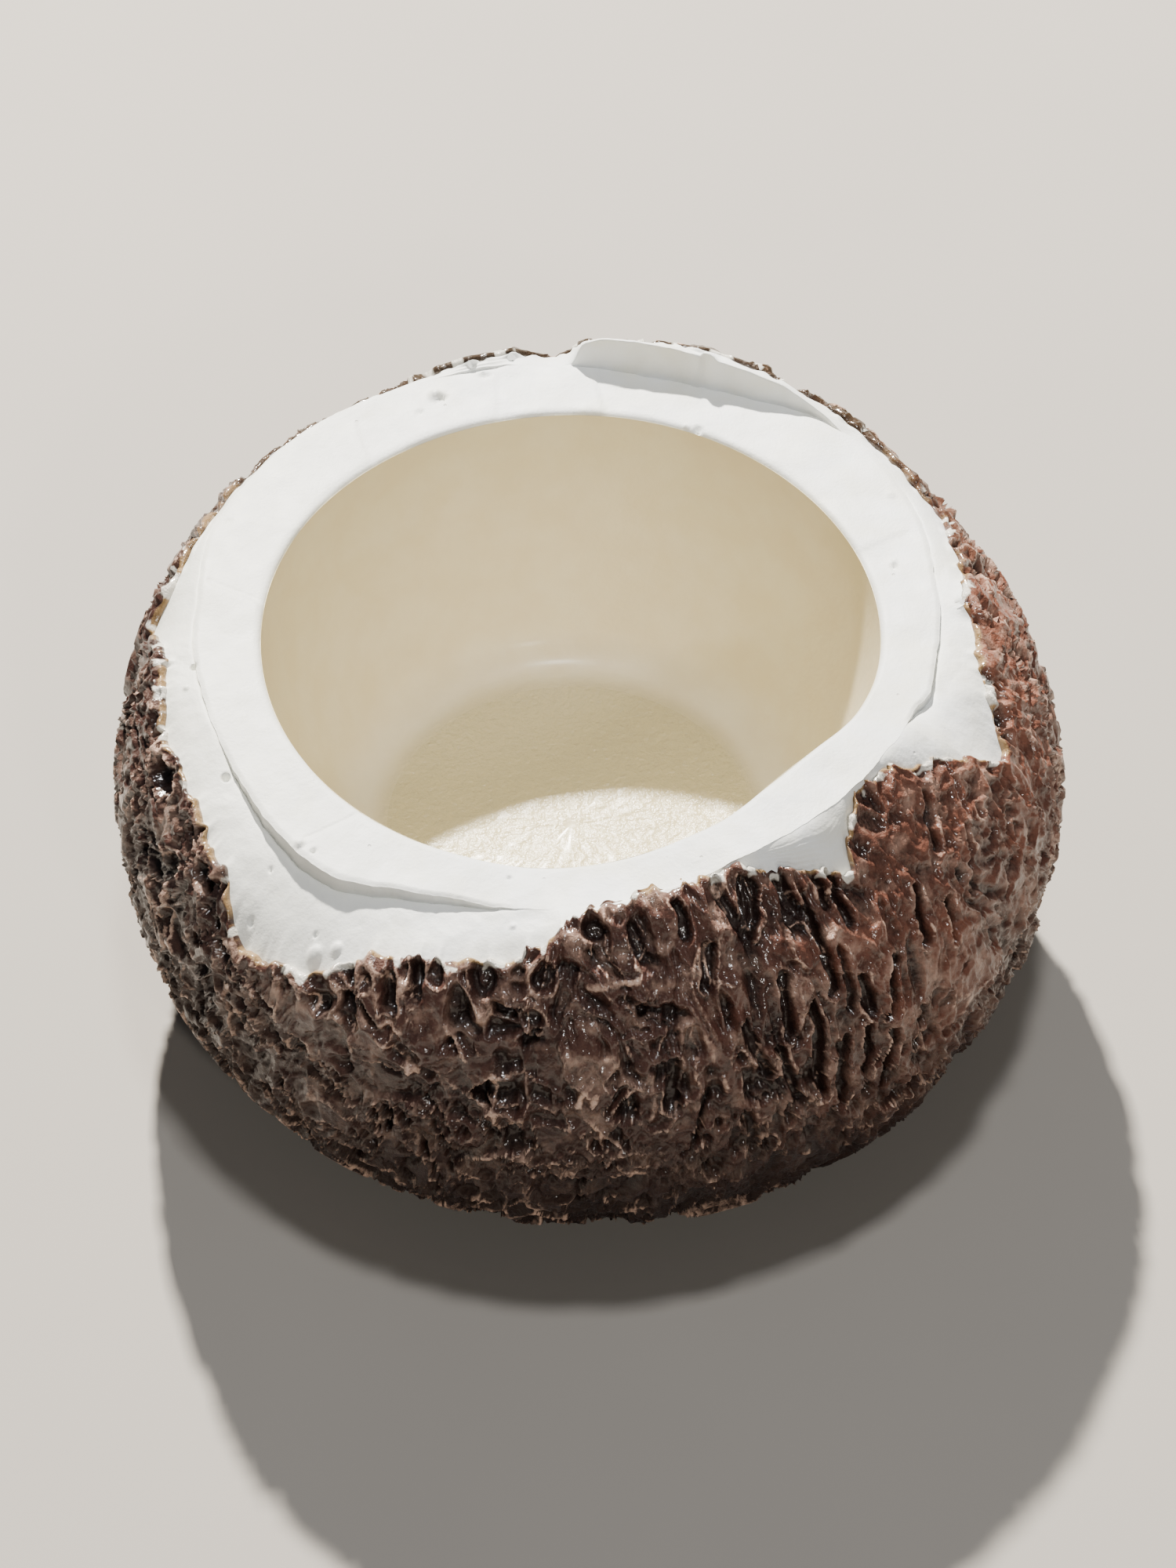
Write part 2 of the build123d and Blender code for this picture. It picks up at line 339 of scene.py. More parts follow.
# Long slots in the husk: (azimuth, height of the top, length, lean in degrees, width, depth).
SLOTS = [
    (307.8, 58.8, 5.5, -0.6, 1.3, 1.7), (303.0, 56.5, 8.5, -1.0, 1.2, 1.7),
    (305.0, 60.5, 4.5, 0.8, 1.1, 1.5), (296.5, 60.8, 4.5, -3.0, 1.9, 1.8),
    (300.5, 61.0, 5.0, 0.8, 1.5, 1.6), (291.5, 61.6, 4.5, 1.2, 1.6, 1.6),
    (293.6, 45.0, 9.0, 1.3, 1.0, 1.5), (299.0, 48.5, 13.0, -1.0, 1.1, 1.6),
    (301.6, 42.5, 10.0, -1.3, 1.2, 1.5), (304.6, 53.0, 8.0, -0.5, 1.0, 1.4),
    (296.4, 52.5, 7.0, -1.0, 1.2, 1.5), (290.0, 49.0, 7.0, 1.5, 1.3, 1.4),
    (306.2, 49.0, 5.0, 0.0, 1.1, 1.5), (305.2, 43.0, 7.5, -1.1, 1.0, 1.5),
    (308.4, 40.0, 7.0, -1.5, 0.9, 1.3), (311.4, 48.8, 6.5, -2.8, 1.1, 1.5),
    (318.4, 53.0, 5.5, -2.4, 1.0, 1.4), (328.0, 58.4, 5.0, -3.5, 0.8, 1.2),
    (330.6, 53.5, 6.5, -4.0, 0.5, 0.8), (334.6, 58.8, 6.0, -3.0, 0.4, 0.7),
    (322.5, 50.0, 4.5, -2.0, 0.7, 1.0), (246.8, 54.0, 3.0, 0.0, 1.5, 1.5),
    (249.8, 56.2, 4.5, -0.3, 1.1, 1.6), (285.5, 61.0, 3.5, 0.5, 1.5, 1.6),
    (288.0, 57.0, 4.0, -1.5, 1.4, 1.4), (280.5, 46.5, 6.0, -1.0, 1.4, 1.5),
    (283.5, 42.0, 7.5, -1.5, 1.1, 1.4), (279.0, 59.5, 3.5, 0.8, 1.6, 1.6),
    (288.5, 37.5, 8.0, 1.0, 1.1, 1.3), (313.5, 41.0, 6.0, -1.5, 0.8, 1.2),
]

# Round blisters with a thin torn rim: (azimuth, height, radius, depth).
BLISTERS = [
    (203.2, 54.6, 1.2, 1.5), (210.2, 49.4, 2.1, 1.9), (216.3, 52.9, 1.4, 1.8), (219.0, 50.0, 0.8, 1.2),
    (222.8, 47.6, 1.4, 1.7), (229.8, 45.0, 1.3, 1.8), (238.0, 48.9, 1.4, 1.8), (243.5, 52.6, 1.1, 1.4),
    (252.3, 55.3, 1.1, 1.7), (258.3, 55.6, 1.9, 1.6), (266.4, 56.0, 1.6, 1.6), (273.9, 59.7, 1.3, 1.8),
    (264.3, 51.9, 1.2, 1.4), (281.8, 52.1, 1.3, 1.6), (248.4, 45.9, 1.6, 1.3), (234.0, 40.5, 1.5, 1.5),
    (266.1, 26.3, 3.4, 0.9), (256.6, 23.8, 2.9, 0.9), (260.0, 43.2, 1.7, 1.4), (333.9, 53.1, 0.7, 0.6),
    (348.4, 55.0, 1.4, 1.4), (313.4, 35.6, 1.2, 1.2), (290.5, 30.5, 1.5, 1.4), (275.0, 22.5, 2.2, 0.9),
]

# Thin raised strands: (azimuth, height, end azimuth, end height, width, rise).
STRANDS = [
    (241.5, 44.2, 249.0, 33.5, 0.35, 0.9), (242.5, 44.0, 247.5, 35.5, 0.3, 0.6),
    (273.4, 48.4, 268.5, 41.7, 0.4, 0.8), (274.2, 48.0, 270.6, 42.5, 0.35, 0.7),
    (278.1, 46.5, 277.1, 37.7, 0.5, 0.8), (269.2, 40.7, 276.3, 31.8, 0.35, 0.8),
    (271.5, 55.0, 279.5, 55.6, 0.5, 0.8), (240.5, 48.8, 245.5, 48.2, 0.5, 0.7),
    (303.9, 55.8, 304.3, 47.5, 0.35, 0.7), (297.3, 55.5, 301.5, 58.8, 0.6, 0.7),
    (284.5, 49.5, 286.0, 42.0, 0.45, 0.7), (254.0, 50.5, 257.5, 44.5, 0.4, 0.7),
    (236.0, 45.5, 238.5, 38.0, 0.4, 0.6), (262.5, 38.5, 268.0, 34.5, 0.35, 0.6),
    (288.0, 28.0, 297.0, 24.5, 0.4, 0.6), (311.8, 55.0, 310.6, 49.5, 0.35, 0.6),
    (224.5, 41.0, 231.0, 36.5, 0.4, 0.7), (316.5, 58.5, 315.0, 53.5, 0.35, 0.5),
]


def husk_frame():
    """Arc length against height up the husk's plain profile, from the pad's edge to the crown."""
    heights = np.linspace(FOOT_HEIGHT, 66.0, 600)
    radii = body_radius(np.full_like(heights, PLAIN_AZIMUTH), heights)
    steps = np.hypot(np.diff(heights), np.diff(radii))
    lengths = radii[0] - PAD_RADIUS + np.concatenate([[0.0], np.cumsum(steps)])
    return heights, lengths


PROFILE_HEIGHTS, PROFILE_LENGTHS = husk_frame()
FOOT_WIDTH = PROFILE_LENGTHS[0]


def height_at(length):
    """Height of a point at an arc length up the husk."""
    return np.interp(length, PROFILE_LENGTHS, PROFILE_HEIGHTS)


def length_at(height):
    """Arc length up the husk of a point at a height."""
    return np.interp(height, PROFILE_HEIGHTS, PROFILE_LENGTHS)


def husk_surface(azimuth, length, inset=0.0):
    """Point of the mean surface: across the flat foot first, then up the side."""
    side_point = body_point(azimuth, height_at(length), inset)
    share = np.clip(length / FOOT_WIDTH, 0.0, 1.0)[..., None]
    rim = place((0.0, 0.0), PAD_RADIUS + 0.2, azimuth, FOOT_HEIGHT + inset)
    return rim * (1 - share) + side_point * share


def pattern_points(azimuth, length, stretch=1.0):
    """Where noise is read: on a cylinder as wide as the belly, so that patterns run up the side."""
    return place((0.0, 0.0), BELLY_RADIUS, azimuth, length / stretch)


def away_from_line(u, v, start, end):
    """Distance of flattened points from a straight line between two points."""
    along = np.array(end, float) - np.array(start, float)
    share = ((u - start[0]) * along[0] + (v - start[1]) * along[1]) / max(along @ along, 1e-6)
    share = np.clip(share, 0.0, 1.0)
    return np.hypot(u - start[0] - share * along[0], v - start[1] - share * along[1])


def flat_spot(azimuth, height):
    """Azimuth and height as millimetres round and up the husk."""
    return radians(azimuth) * FLAT_RADIUS, float(length_at(height))


def marks(azimuth, length, wobble):
    """Listed slots, blisters and strands: how deep they sink, and where their thin edges rise."""
    u = np.radians(azimuth) * FLAT_RADIUS + wobble[0]
    v = length + wobble[1]
    hollow = np.zeros_like(u)
    edge = np.zeros_like(u)
    for middle, top, extent, lean, width, depth in SLOTS:
        start = flat_spot(middle, top)
        end = (radians(middle + lean) * FLAT_RADIUS, start[1] - extent)
        away = away_from_line(u, v, start, end) - width / 2
        hollow = np.maximum(hollow, depth * smooth_step(0.5 - away / 0.55))
        edge = np.maximum(edge, 0.85 * np.exp(-((away - 0.42) / 0.2) ** 2))
    for middle, height, radius, depth in BLISTERS:
        spot = flat_spot(middle, height)
        away = np.hypot(u - spot[0], v - spot[1]) - radius
        rings = 1 - 0.5 * smooth_step((radius - 2.5) / 0.3) * (1 + np.cos(away * 4.2)) / 2
        swollen = 1 - 0.45 * smooth_step(-0.8 - away)
        hollow = np.maximum(hollow, 0.75 * depth * smooth_step(0.35 - away / 0.9) * rings * swollen)
        edge = np.maximum(edge, 0.9 * np.exp(-((away - 0.35) / 0.22) ** 2))
    for middle, height, end_azimuth, end_height, width, rise in STRANDS:
        away = away_from_line(u, v, flat_spot(middle, height), flat_spot(end_azimuth, end_height))
        edge = np.maximum(edge, 1.2 * rise * np.exp(-(away / width) ** 2))
    return hollow, edge * np.clip(0.7 + 1.6 * wobble[2], 0.1, 1.15)


def pits_and_curls(points, size, seed):
    """Cells sunk to different depths from 0 to 1, and thin curled edges between them from 0 to 1."""
    near, far, number = cells(points, size, seed)
    gap = far - near
    curl = np.exp(-(gap / 0.13) ** 1.4) * smooth_step(0.5 + 1.1 * soft_noise(points, size * 1.5, seed + 5))
    floor = smooth_step(gap / 0.4)
    depth = np.where(number < 0.34, 1.0, np.where(number < 0.68, 0.45, -0.12))
    return depth * floor, curl


def torn_layers(points, size, seed):
    """Terraces from -1 to 1 that flow about, and the thin crest from 0 to 1 along their brink."""
    flow = soft_noise(points, size, seed)
    brink = np.exp(-(np.abs(flow - 0.04) / 0.055) ** 1.5)
    return np.tanh(flow * 7.0), brink * smooth_step(0.6 + soft_noise(points, size * 1.3, seed + 9))


def cell_relief(even, long, fibrous):
    """Pits and the curls between them, from even cells to long ones where the husk is fibrous."""
    big_cells = smooth_step(0.5 + 2.2 * soft_noise(even, 9.0, 57))
    small_pit, small_curl = pits_and_curls(even, 2.2, 61)
    big_pit, big_curl = pits_and_curls(even, 3.7, 65)
    long_pit, long_curl = pits_and_curls(long, 2.3, 71)
    pit = small_pit * (1 - big_cells) * 0.85 + big_pit * big_cells
    curl = small_curl * (1 - big_cells) * 0.8 + big_curl * big_cells
    return pit * (1 - fibrous) + 0.8 * long_pit * fibrous, curl * (1 - fibrous) + 0.7 * long_curl * fibrous


def mark_relief(azimuth, length, around):
    """Depth and edges of the listed marks, with their outlines made uneven."""
    wobble = (0.6 * soft_noise(around, 2.4, 101) + 0.2 * soft_noise(around, 0.9, 102),
              0.6 * soft_noise(around, 2.4, 103) + 0.2 * soft_noise(around, 0.9, 104),
              soft_noise(around, 1.9, 107))
    return marks(azimuth, length, wobble)


def husk_relief(azimuth, length):
    """Height of the wrinkled husk above its mean surface, in millimetres, and where its curls run."""
    height = height_at(length)
    around = pattern_points(azimuth, length)
    even = stir(stir(around, 7.0, 3.0, 21), 2.2, 0.75, 31)
    long = stir(stir(pattern_points(azimuth, length, 2.8), 6.0, 1.4, 41), 1.7, 0.45, 51)
    fibrous = smooth_step(1.1 - arc_away(azimuth, 300.0) / 36.0 + 0.6 * soft_noise(even, 9.0, 3))
    fibrous *= smooth_step((height - 13.0) / 12.0)
    smoother = smooth_step(1.25 - arc_away(azimuth, 328.0) / 28.0) * smooth_step((height - 28.0) / 16.0)
    pit, curl = cell_relief(even, long, fibrous)
    fine_pit, fine_curl = pits_and_curls(stir(even, 1.0, 0.35, 81), 1.25, 91)
    flowing = even * (1 - 0.35 * fibrous[..., None]) + 0.35 * long * fibrous[..., None]
    layers, crest = torn_layers(flowing, 4.2, 77)
    fine_layers, fine_crest = torn_layers(flowing, 2.1, 87)
    patchy = np.clip(0.95 + 0.6 * soft_noise(even, 12.0, 75), 0.4, 1.4)
    relief = 0.9 * curl + 0.85 * crest + 0.4 * layers + 0.45 * fine_crest + 0.2 * fine_layers
    relief = (relief - 1.4 * pit * patchy) * (1 - 0.55 * smoother)
    relief += 0.2 * fine_curl - 0.26 * fine_pit + 0.05 * rough_noise(even, 0.9, 95)
    hollow, edge = mark_relief(azimuth, length, around)
    relief = relief * (1 - 0.6 * smooth_step(hollow + edge)) - hollow + 0.55 * edge
    relief += 0.35 * soft_noise(even, 11.0, 97) + 0.3
    foot_fade = smooth_step((length - 2.0) / 6.0)
    ridges = np.maximum(np.maximum(curl, crest), np.maximum(0.8 * fine_crest, 0.5 * fine_curl))
    ridges = ridges * (1 - 0.4 * smoother)
    return np.clip(relief, *RELIEF_RANGE) * foot_fade, np.maximum(ridges, edge)


def husk_depth(azimuth, below):
    """Thickness of the husk at a distance below its edge; it stays thin behind the raised back piece."""
    slow = 3.0 + 7.0 * near(azimuth, 72.0, 30.0)
    return 0.9 + 2.1 * smooth_step(below / slow)


def husk_edge_height(azimuth):
    """Ragged upper edge of the husk."""
    ring = place((0.0, 0.0), BELLY_RADIUS, azimuth, 0.0)
    ragged = 0.75 * rough_noise(ring, 3.0, 101) + 0.6 * np.abs(soft_noise(ring, 1.2, 105)) - 0.25
    return follow(HUSK_EDGE, azimuth, EDGE_SOFTENING) + ragged - 0.45 * near(azimuth, 85.0, 70.0)


def calm_edge(relief, base, to_edge, behind):
    """Relief held back towards the broken edge, and lumpy there behind the rim."""
    lumps = 0.2 + 0.9 * smooth_step(0.5 + 1.8 * soft_noise(base, 5.0, 115))
    relief = relief + 0.3 * (1 - behind) * np.exp(-(to_edge / 0.7) ** 2)
    highest = RELIEF_RANGE[1]
    relief = np.minimum(relief, highest + (lumps - highest) * behind * smooth_step(1.6 - to_edge / 4.0))
    return np.minimum(relief, 0.5 + 0.7 * to_edge)


def wrap_rows(base, normal, last_relief):
    """Rows that turn the husk's broken edge in under itself, down into the white."""
    upward = base[-1] - base[-2]
    upward /= np.linalg.norm(upward, axis=-1, keepdims=True)
    rows = []
    for rise, turn in EDGE_WRAPS:
        level = last_relief * (1 - turn) - EDGE_TUCK * turn
        rows.append(base[-1] + upward * rise + normal[-1] * level[:, None])
    return np.array(rows)


def husk_values(row_count, relief, ridges, base, to_edge, behind):
    """Numbers for the husk's material: relief, ridges, the ochre rim and chips down to the white."""
    values = {name: np.zeros((row_count, len(AZIMUTH))) for name in ("relief", "ridge", "rim", "chip")}
    values["relief"][:HUSK_ROWS] = np.clip(relief / 2.4, -1.0, 1.0)
    values["ridge"][:HUSK_ROWS] = ridges
    broken = smooth_step(0.75 + 1.2 * rough_noise(base, 2.4, 111))
    # Painted shade: behind the rim the ochre edge is dimmed.
    values["rim"][:HUSK_ROWS] = np.exp(-to_edge / 0.45) * broken * (1 - 0.7 * behind)
    bare = smooth_step(3.2 * (soft_noise(stir(base, 2.0, 0.7, 119), 1.7, 117) - 0.18))
    values["chip"][:HUSK_ROWS] = bare * smooth_step(1.5 - to_edge / (0.9 + 1.2 * behind))
    for name in ("rim", "chip"):
        values[name][HUSK_ROWS:HUSK_ROWS + len(EDGE_WRAPS) + 2] = values[name][HUSK_ROWS - 1]
    return values


def make_husk(material):
    edge = length_at(husk_edge_height(AZIMUTH))
    length = np.linspace(0.0, 1.0, HUSK_ROWS)[:, None] * edge[None, :]
    azimuth = np.broadcast_to(AZIMUTH, length.shape)
    to_edge = edge[None, :] - length
    behind = near(azimuth, 90.0, 70.0)
    base = husk_surface(azimuth, length)
    normal = grid_normals(base)
    relief, ridges = husk_relief(azimuth, length)
    relief = np.maximum(relief, 0.35 - husk_depth(azimuth, to_edge))
    relief = calm_edge(relief, base, to_edge, behind)
    outer = base + normal * relief[..., None]
    outer[..., 2] = np.maximum(outer[..., 2], FOOT_CLEARANCE)
    inner_length = np.linspace(0.985, 0.0, HUSK_INNER_ROWS)[:, None] * edge[None, :]
    inner_azimuth = np.broadcast_to(AZIMUTH, inner_length.shape)
    depth = husk_depth(inner_azimuth, edge[None, :] - inner_length)
    inner = husk_surface(inner_azimuth, inner_length, depth)
    rows = np.concatenate([outer, wrap_rows(base, normal, relief[-1]), inner])
    values = husk_values(len(rows), relief, ridges, base, to_edge, behind)
    return ring_mesh("husk", rows, closed=True, values=values), material


# ---------------------------------------------------------------- white rim and cup

def well_profile():
    """Wall of the well as (radius, height) points: floor, soft corner, bowed wall, mouth."""
    turn = radians(CORNER_TURN)
    floor = [(FLOOR_RADIUS * share, FLOOR_HEIGHT) for share in np.linspace(0.04, 1.0, 30)]
    corner = []
    for angle in np.linspace(0.0, turn, 10)[1:]:
        radius = FLOOR_RADIUS + CORNER_RADIUS * sin(angle)
        corner.append((radius, FLOOR_HEIGHT + CORNER_RADIUS * (1 - cos(angle))))
    start = np.array(corner[-1])
    end = np.array([MOUTH_RADIUS, LIP_HEIGHT])
    wall = []
    for share in np.linspace(0.0, 1.0, 26)[1:]:
        bow = WALL_BOW * 4 * share * (1 - share)
        wall.append(tuple(start + (end - start) * share + np.array([bow, 0.0])))
    return np.array(floor + corner + wall)


def mouth_radius(azimuth):
    """Radius of the mouth, with its slight flat."""
    turn = np.radians(azimuth - FLAT_AZIMUTH)
    flat = FLAT_DISTANCE / np.maximum(np.cos(turn), 0.2)
    chord = -0.35 * np.log(np.exp(-MOUTH_RADIUS / 0.35) + np.exp(-flat / 0.35))
    return chord + 0.08 * np.sin(np.radians(azimuth) * 5 + 1.0)


def lip_heights(azimuth):
    """Height of the lip at the mouth and at the crease."""
    return follow(LIP, azimuth, 4.0), follow(LIP, azimuth, 4.0, column=2)


def crease_radius(azimuth):
    """Outer edge of the lip, a little torn."""
    ring = place((0.0, 0.0), RIM_RADIUS, azimuth, 0.0)
    torn = 0.2 * soft_noise(ring, 4.0, 121) + 0.16 * rough_noise(ring, 1.6, 123)
    return RIM_RADIUS + follow(CREASE, azimuth, 2.0) + torn


# The lip's usual width, the rows down its outer side below the crease, and the cup's foot.
LIP_WIDTH = 7.0
CREASE_DROPS = (0.25, 0.8, 2.2, 6.0)
CUP_FOOT_RADIUS = 30.0

# Fine folds across the lip: (azimuth at the mouth, turn by the crease, depth).
FOLDS = [
    (173.0, -3.0, 0.3), (131.0, -4.0, 0.16), (83.0, 3.0, 0.2), (104.0, -2.0, 0.12), (20.0, 1.5, 0.1),
    (230.0, -3.0, 0.16), (152.0, 3.0, 0.1),
]

# Holes and bubbles in the white: (azimuth, radius, size, depth). A bubble's depth is negative.
POCKS = [
    (209.0, 47.3, 0.55, 0.8), (227.0, 46.9, 0.6, -0.45), (229.5, 46.6, 0.35, 0.6),
    (237.0, 55.2, 0.9, -0.6), (239.5, 53.9, 0.7, -0.5), (236.0, 53.4, 0.35, 0.4),
    (225.0, 50.2, 0.3, 0.4), (227.0, 55.4, 0.35, 0.5), (187.0, 46.6, 0.45, 0.6),
    (15.0, 42.0, 0.4, 0.5), (16.2, 42.3, 0.3, -0.3), (68.0, 47.6, 1.1, -0.9), (69.5, 46.9, 0.6, 0.9),
    (65.0, 38.9, 0.5, 0.8), (67.5, 38.8, 0.35, -0.3), (113.0, 45.0, 0.9, -0.8),
    (112.0, 44.2, 0.5, 0.6), (117.0, 43.0, 0.35, 0.5), (260.0, 40.5, 0.25, 0.35),
    (104.0, 46.4, 0.6, 0.6), (262.0, 47.2, 0.4, -0.3), (191.0, 47.8, 0.4, -0.3),
    (157.0, 47.0, 0.35, 0.3), (30.0, 47.0, 0.5, -0.3),
]


def about_cup(points):
    """Azimuth and radius of points about the middle of the cup."""
    x = points[..., 0] - CUP_CENTRE[0]
    y = points[..., 1] - CUP_CENTRE[1]
    return np.degrees(np.arctan2(y, x)) % 360.0, np.hypot(x, y)


def white_detail(points):
    """Small unevenness of the white's top: soft waves, folds across the lip, holes and bubbles."""
    azimuth, radius = about_cup(points)
    spot = points * np.array([1.0, 1.0, 0.0])
    detail = 0.2 * soft_noise(spot, 9.0, 131) + 0.12 * soft_noise(spot, 3.6, 132)
    detail += 0.045 * rough_noise(spot, 1.5, 133)
    out = (radius - MOUTH_RADIUS) / (RIM_RADIUS - MOUTH_RADIUS)
    for middle, turn, depth in FOLDS:
        across = np.radians(azimuth - middle - turn * out) * radius
        fade = smooth_step(out * 4.0 + 0.3) * smooth_step((1.15 - out) * 6.0)
        detail += depth * fade * (0.45 * np.tanh(across / 0.5) * np.exp(-(across / 4.0) ** 2))
        detail -= depth * fade * 0.8 * np.exp(-(across / 0.3) ** 2)
    for middle, distance, size, depth in POCKS:
        away = np.hypot(np.radians(azimuth - middle) * radius, radius - distance) / size
        detail -= depth * smooth_step(1.35 - away)
    return detail


def step_share(azimuth):
    """1 where the crease is a clear step, 0 where lip and ledge run on evenly."""
    return np.clip(np.abs(follow(STEP, azimuth, 0.5)) / 0.5, 0.0, 1.0)


def lip_point(azimuth, share):
    """Top of the lip from the mouth, share 0, to the crease, share 1."""
    at_mouth, at_crease = lip_heights(azimuth)
    radius = mouth_radius(azimuth) * (1 - share) + crease_radius(azimuth) * share
    point = place(CUP_CENTRE, radius, azimuth, at_mouth * (1 - share) + at_crease * share)
    point[..., 2] += white_detail(point)
    point[..., 2] -= 0.25 * step_share(azimuth) * smooth_step((share - 0.93) / 0.07)
    return point


def well_shift(radius, height, azimuth, lift_at_mouth):
    """A well point's radius and height, moved by the mouth's flat and by the uneven lip."""
    flat = mouth_radius(azimuth) - MOUTH_RADIUS
    reach = smooth_step((height - FLOOR_HEIGHT - 6.0) / 18.0)
    lift = smooth_step((height - 44.0) / 15.0) * lift_at_mouth
    return radius + flat * reach, height + lift


def cup_inside_rows(at_mouth):
    """Rows of the cup's inner face, just behind the sealing coat."""
    rows = []
    for radius, height in well_profile()[:-3:3]:
        around, level = well_shift(radius, height, AZIMUTH, at_mouth - LIP_HEIGHT)
        rows.append(place(CUP_CENTRE, around + COATING_THICKNESS, AZIMUTH, level - COATING_THICKNESS))
    return rows


def lip_rows(at_mouth):
    """Rows over the rounded mouth and out along the lip to the crease."""
    rows = []
    for angle in np.linspace(0.0, pi / 2, 6)[:-1]:
        out = MOUTH_ROUNDING * (1 - cos(angle))
        drop = MOUTH_ROUNDING * (1 - sin(angle))
        edge = place(CUP_CENTRE, mouth_radius(AZIMUTH) + out, AZIMUTH, at_mouth - drop)
        edge[..., 2] += white_detail(edge)
        rows.append(edge)
    for share in np.linspace(MOUTH_ROUNDING / LIP_WIDTH, 1.0, 30):
        rows.append(lip_point(AZIMUTH, share))
    return rows


def cup_outside_rows(top):
    """Rows down from the crease and in to the middle of the cup's foot."""
    rows = [top - np.array([0.0, 0.0, drop]) for drop in CREASE_DROPS]
    foot = place(CUP_CENTRE, CUP_FOOT_RADIUS, AZIMUTH, CUP_FOOT_HEIGHT)
    for share in np.linspace(0.2, 1.0, 6):
        sag = CREASE_DROPS[-1] * (1 - share)
        rows.append(top * (1 - share) + foot * share - np.array([0.0, 0.0, sag]))
    rows.append(place(CUP_CENTRE, 1.0, AZIMUTH, CUP_FOOT_HEIGHT))
    return rows


def make_cup(material):
    at_mouth = lip_heights(AZIMUTH)[0]
    rows = cup_inside_rows(at_mouth) + lip_rows(at_mouth)
    rows += cup_outside_rows(rows[-1])
    return ring_mesh("cup", np.array(rows[::-1]), capped=(True, True)), material


def ledge_start(azimuth):
    """Inner edge of the white ledge, beside the crease, or the top of the raised piece behind it."""
    step = follow(STEP, azimuth, 0.5)
    lean = RAISED_LEAN * np.maximum(-step, 0.0)
    return place(CUP_CENTRE, crease_radius(azimuth) - 0.15 + lean, azimuth, lip_heights(azimuth)[1] - step)


def ledge_point(azimuth, share):
    """White surface from the crease, share 0, out to the husk's edge, share 1."""
    start = ledge_start(azimuth)
    even_edge = follow(HUSK_EDGE, azimuth, 3.0)
    ragged_share = smooth_step((share - 0.55) / 0.45)
    edge = even_edge * (1 - ragged_share) + husk_edge_height(azimuth) * ragged_share - 0.25
    outer = body_point(azimuth, np.minimum(edge, start[..., 2] + 1.0), 0.4)
    point = start * (1 - share) + outer * share
    swell = 4 * share * (1 - share)
    fall = np.maximum(start[..., 2] - outer[..., 2], 0.0)
    point[..., 2] += swell * np.minimum(fall * 0.16, 1.2)
    spot = point * np.array([1.0, 1.0, 0.6])
    point[..., 2] += swell * (0.4 * soft_noise(spot, 6.0, 141) + 0.15 * rough_noise(spot, 2.4, 143))
    point[..., 2] += white_detail(point) + facet_ripples(azimuth, share)
    nibbles = np.abs(soft_noise(spot, 1.9, 145)) + 0.5 * soft_noise(spot, 3.4, 147)
    point[..., 2] += 0.75 * near(azimuth, 95.0, 75.0) * nibbles * smooth_step((share - 0.7) / 0.25)
    point[..., 2] -= 0.6 * step_share(azimuth) * np.exp(-share * 28.0)
    return point


def facet_ripples(azimuth, share):
    """Fine wavy tear lines on the steep facet at the front right."""
    waves = np.sin(share * 58.0 + 1.6 * np.sin(np.radians(azimuth) * 46.0))
    return 0.05 * waves * near(azimuth, 306.5, 6.0) * smooth_step(share * 4 - 0.8)


# How far below the husk's edge the rows of the white's outer side run.
FLESH_FALLS = (0.5, 1.5, 3.0, 5.0, 7.0, 9.0, 12.0, 16.0, 22.0, 30.0, 38.0, 46.0)


def flesh_inside_rows(inner_top):
    """Rows up the white's inner side, close round the cup, to the ledge's inner edge."""
    level = np.minimum(inner_top[..., 2], lip_heights(AZIMUTH)[1]) - 1.5
    below = place(CUP_CENTRE, crease_radius(AZIMUTH) - 0.2, AZIMUTH, level)
    foot = place(CUP_CENTRE, CUP_FOOT_RADIUS + 1.0, AZIMUTH, CUP_FOOT_HEIGHT)
    rows = [foot * (1 - share) + below * share for share in np.linspace(0.0, 1.0, 5)]
    rows += [below * (1 - share) + inner_top * share for share in np.linspace(0.1, 0.97, 14)]
    return rows


def flesh_outside_rows(edge):
    """Rows down behind the husk from the ledge's outer edge, and in across the pad."""
    rows = []
    for fall in FLESH_FALLS:
        level = np.maximum(edge - fall, PAD_TOP + 1.2)
        rows.append(body_point(AZIMUTH, level, husk_depth(AZIMUTH, fall) + 0.15))
    rows.append(place((0.0, 0.0), PAD_RADIUS - 1.0, AZIMUTH, PAD_TOP + 0.1))
    rows.append(place(CUP_CENTRE, 1.0, AZIMUTH, PAD_TOP + 0.1))
    rows.append(place(CUP_CENTRE, 1.0, AZIMUTH, CUP_FOOT_HEIGHT - 0.1))
    return rows


def make_flesh(material):
    top = [ledge_point(AZIMUTH, share) for share in np.linspace(0.0, 1.0, 34)]
    rows = flesh_inside_rows(top[0]) + top + flesh_outside_rows(top[-1][..., 2])
    return ring_mesh("white_body", np.array(rows[::-1]), closed=True), material


